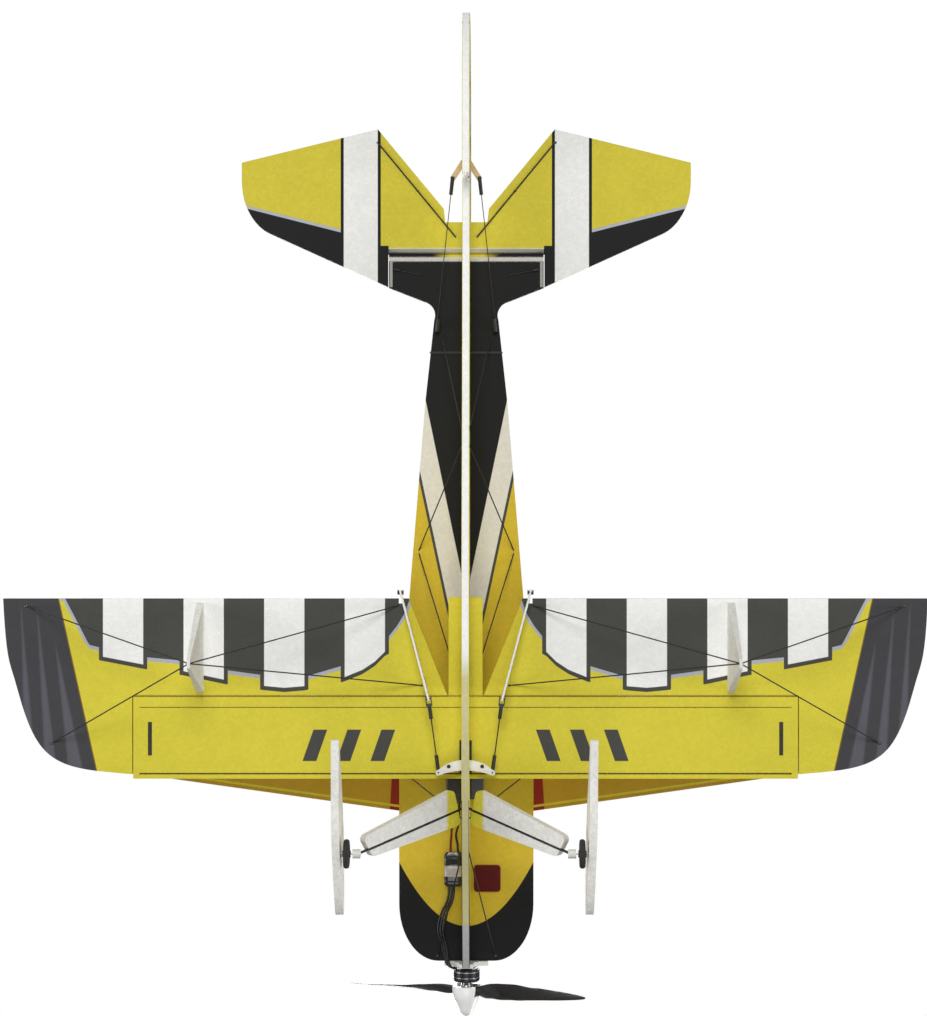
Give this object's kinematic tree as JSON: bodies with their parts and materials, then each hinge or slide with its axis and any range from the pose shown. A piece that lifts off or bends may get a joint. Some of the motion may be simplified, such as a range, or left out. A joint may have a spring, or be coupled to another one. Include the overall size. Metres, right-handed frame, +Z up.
{
  "type": "radio-control biplane",
  "caption": "Indoor aerobatic model biplane of flat foam sheet, braced with carbon rods, with working control surfaces, propeller and wheels.",
  "frame": {"origin": "on the ground under the wheels, at the plane of symmetry, half way along the length", "axes": "+Z up, nose towards -Y, +X towards the port (left) wing tip"},
  "size_m": [0.7346, 0.8302, 0.3037],
  "materials": {
    "foam": "moulded bead foam, sprayed, bare at its edges",
    "carbon": "pultruded carbon, satin",
    "strut_black": "fibre plate, satin",
    "white_plastic": "moulded nylon, satin",
    "plywood": "thin plywood, bare",
    "black_plastic": "moulded, semi-gloss",
    "spinner_white": "moulded, satin gloss",
    "motor_metal": "anodised, turned",
    "steel": "drawn wire",
    "controller_sleeve": "board in clear shrink tube",
    "lead_rubber": "silicone wire",
    "battery_wrap": "shrink-wrapped pack",
    "receiver_case": "moulded case",
    "hook_tape": "hook-and-loop tape",
    "tyre": "foam rubber"
  },
  "bodies": {
    "airframe": {"fuselage_plate": "foam", "fuselage_profile_upper": "foam", "fuselage_profile_lower": "foam", "lower_wing_panel": "foam", "upper_wing_panel": "foam", "wing_spars": "carbon", "interplane_struts": "strut_black", "brace_rods": "carbon", "motor_mount": "white_plastic", "motor_mount_screws": "steel", "motor_stator": "motor_metal", "speed_controller": "controller_sleeve", "motor_leads": "lead_rubber", "battery_leads": "lead_rubber", "receiver": "receiver_case", "battery_pack": "battery_wrap", "hook_pad": "hook_tape", "servo_cases": "black_plastic", "gear_legs": "carbon", "gear_fairings": "foam", "wheel_axles": "steel", "axle_collets": "white_plastic", "wheel_spats": "foam", "line_guides": "black_plastic"},
    "motor_rotor": {"motor_bell": "motor_metal", "prop_adapter": "motor_metal", "propeller": "black_plastic", "spinner": "spinner_white"},
    "elevator": {"elevator": "foam", "elevator_horn": "white_plastic"},
    "elevator_arm": {"elevator_servo_arm": "white_plastic"},
    "elevator_rod": {"elevator_pushrod": "black_plastic"},
    "rudder": {"rudder": "foam", "rudder_horn": "plywood"},
    "rudder_arm": {"rudder_servo_arm": "white_plastic"},
    "aileron_arm": {"aileron_servo_arm": "white_plastic"},
    "wheel_left": {"wheel_hub_left": "black_plastic", "tyre_left": "tyre"},
    "lower_aileron_left": {"lower_aileron_left": "foam", "aileron_horn_left": "white_plastic", "king_post_left": "foam", "aileron_braces_left": "carbon"},
    "upper_aileron_left": {"upper_aileron_left": "foam", "upper_horn_left": "white_plastic"},
    "aileron_link_left": {"aileron_link_left": "black_plastic"},
    "aileron_pushrod_left": {"aileron_pushrod_left": "black_plastic"},
    "rudder_line_aft_left": {"rudder_line_aft_left": "black_plastic"},
    "rudder_line_front_left": {"rudder_line_front_left": "black_plastic"},
    "wheel_right": {"wheel_hub_right": "black_plastic", "tyre_right": "tyre"},
    "lower_aileron_right": {"lower_aileron_right": "foam", "aileron_horn_right": "white_plastic", "king_post_right": "foam", "aileron_braces_right": "carbon"},
    "upper_aileron_right": {"upper_aileron_right": "foam", "upper_horn_right": "white_plastic"},
    "aileron_link_right": {"aileron_link_right": "black_plastic"},
    "aileron_pushrod_right": {"aileron_pushrod_right": "black_plastic"},
    "rudder_line_aft_right": {"rudder_line_aft_right": "black_plastic"},
    "rudder_line_front_right": {"rudder_line_front_right": "black_plastic"}
  },
  "joints": [
    {"name": "prop_spin", "type": "hinge", "parent": "airframe", "child": "motor_rotor", "pos_m": [0, -0.38, 0.171], "axis": [0, -1, 0], "continuous": true},
    {"name": "wheel_spin_left", "type": "hinge", "parent": "airframe", "child": "wheel_left", "pos_m": [0.089, -0.257, 0.011], "axis": [1, 0, 0], "continuous": true},
    {"name": "wheel_spin_right", "type": "hinge", "parent": "airframe", "child": "wheel_right", "pos_m": [-0.089, -0.257, 0.011], "axis": [1, 0, 0], "continuous": true},
    {"name": "aileron_roll", "type": "hinge", "parent": "airframe", "child": "lower_aileron_left", "pos_m": [0.264, -0.1455, 0.101], "axis": [1, 0, 0], "range_deg": [-25, 25]},
    {"name": "aileron_right", "type": "hinge", "parent": "airframe", "child": "lower_aileron_right", "pos_m": [-0.264, -0.1455, 0.101], "axis": [1, 0, 0], "range_deg": [-25, 25]},
    {"name": "upper_aileron_left", "type": "hinge", "parent": "airframe", "child": "upper_aileron_left", "pos_m": [0.264, -0.166, 0.241], "axis": [1, 0, 0], "range_deg": [-25, 25]},
    {"name": "aileron_link_left", "type": "hinge", "parent": "lower_aileron_left", "child": "aileron_link_left", "pos_m": [0.0515, -0.0625, 0.095], "axis": [1, 0, 0], "range_deg": [-25, 25]},
    {"name": "aileron_pushrod_left", "type": "hinge", "parent": "lower_aileron_left", "child": "aileron_pushrod_left", "pos_m": [0.029, -0.146, 0.081], "axis": [1, 0, 0], "range_deg": [-25, 25]},
    {"name": "upper_aileron_right", "type": "hinge", "parent": "airframe", "child": "upper_aileron_right", "pos_m": [-0.264, -0.166, 0.241], "axis": [1, 0, 0], "range_deg": [-25, 25]},
    {"name": "aileron_link_right", "type": "hinge", "parent": "lower_aileron_right", "child": "aileron_link_right", "pos_m": [-0.0515, -0.0625, 0.095], "axis": [1, 0, 0], "range_deg": [-25, 25]},
    {"name": "aileron_pushrod_right", "type": "hinge", "parent": "lower_aileron_right", "child": "aileron_pushrod_right", "pos_m": [-0.029, -0.146, 0.081], "axis": [1, 0, 0], "range_deg": [-25, 25]},
    {"name": "aileron_arm", "type": "hinge", "parent": "airframe", "child": "aileron_arm", "pos_m": [0, -0.199, 0.09], "axis": [0, 0, 1], "range_deg": [-25, 25]},
    {"name": "elevator", "type": "hinge", "parent": "airframe", "child": "elevator", "pos_m": [0, 0.213, 0.174], "axis": [1, 0, 0], "range_deg": [-30, 30]},
    {"name": "elevator_arm", "type": "hinge", "parent": "airframe", "child": "elevator_arm", "pos_m": [-0.0134, -0.1, 0.204], "axis": [1, 0, 0], "range_deg": [-30, 30]},
    {"name": "elevator_rod", "type": "hinge", "parent": "elevator", "child": "elevator_rod", "pos_m": [-0.0134, 0.213, 0.186], "axis": [1, 0, 0], "range_deg": [-30, 30]},
    {"name": "rudder", "type": "hinge", "parent": "airframe", "child": "rudder", "pos_m": [0, 0.272, 0.2], "axis": [0, 0, 1], "range_deg": [-25, 25]},
    {"name": "rudder_arm", "type": "hinge", "parent": "airframe", "child": "rudder_arm", "pos_m": [0, -0.05, 0.198], "axis": [0, 0, 1], "range_deg": [-25, 25]},
    {"name": "rudder_line_aft_left", "type": "hinge", "parent": "rudder", "child": "rudder_line_aft_left", "pos_m": [0.011, 0.272, 0.145], "axis": [0, 0, 1], "range_deg": [-25, 25]},
    {"name": "rudder_line_front_left", "type": "hinge", "parent": "rudder_arm", "child": "rudder_line_front_left", "pos_m": [0.011, -0.05, 0.198], "axis": [0, 0, 1], "range_deg": [-25, 25]},
    {"name": "rudder_line_aft_right", "type": "hinge", "parent": "rudder", "child": "rudder_line_aft_right", "pos_m": [-0.011, 0.272, 0.145], "axis": [0, 0, 1], "range_deg": [-25, 25]},
    {"name": "rudder_line_front_right", "type": "hinge", "parent": "rudder_arm", "child": "rudder_line_front_right", "pos_m": [-0.011, -0.05, 0.198], "axis": [0, 0, 1], "range_deg": [-25, 25]}
  ],
  "couplings": [
    {"joint": "aileron_right", "follows": "aileron_roll", "ratio": -1},
    {"joint": "upper_aileron_left", "follows": "aileron_roll", "ratio": 1},
    {"joint": "aileron_link_left", "follows": "aileron_roll", "ratio": -1},
    {"joint": "aileron_pushrod_left", "follows": "aileron_roll", "ratio": -1},
    {"joint": "upper_aileron_right", "follows": "aileron_roll", "ratio": -1},
    {"joint": "aileron_link_right", "follows": "aileron_roll", "ratio": 1},
    {"joint": "aileron_pushrod_right", "follows": "aileron_roll", "ratio": 1},
    {"joint": "aileron_arm", "follows": "aileron_roll", "ratio": 0.939},
    {"joint": "elevator_arm", "follows": "elevator", "ratio": 1},
    {"joint": "elevator_rod", "follows": "elevator", "ratio": -1},
    {"joint": "rudder_arm", "follows": "rudder", "ratio": 1},
    {"joint": "rudder_line_aft_left", "follows": "rudder", "ratio": -1},
    {"joint": "rudder_line_front_left", "follows": "rudder", "ratio": -1},
    {"joint": "rudder_line_aft_right", "follows": "rudder", "ratio": -1},
    {"joint": "rudder_line_front_right", "follows": "rudder", "ratio": -1}
  ]
}
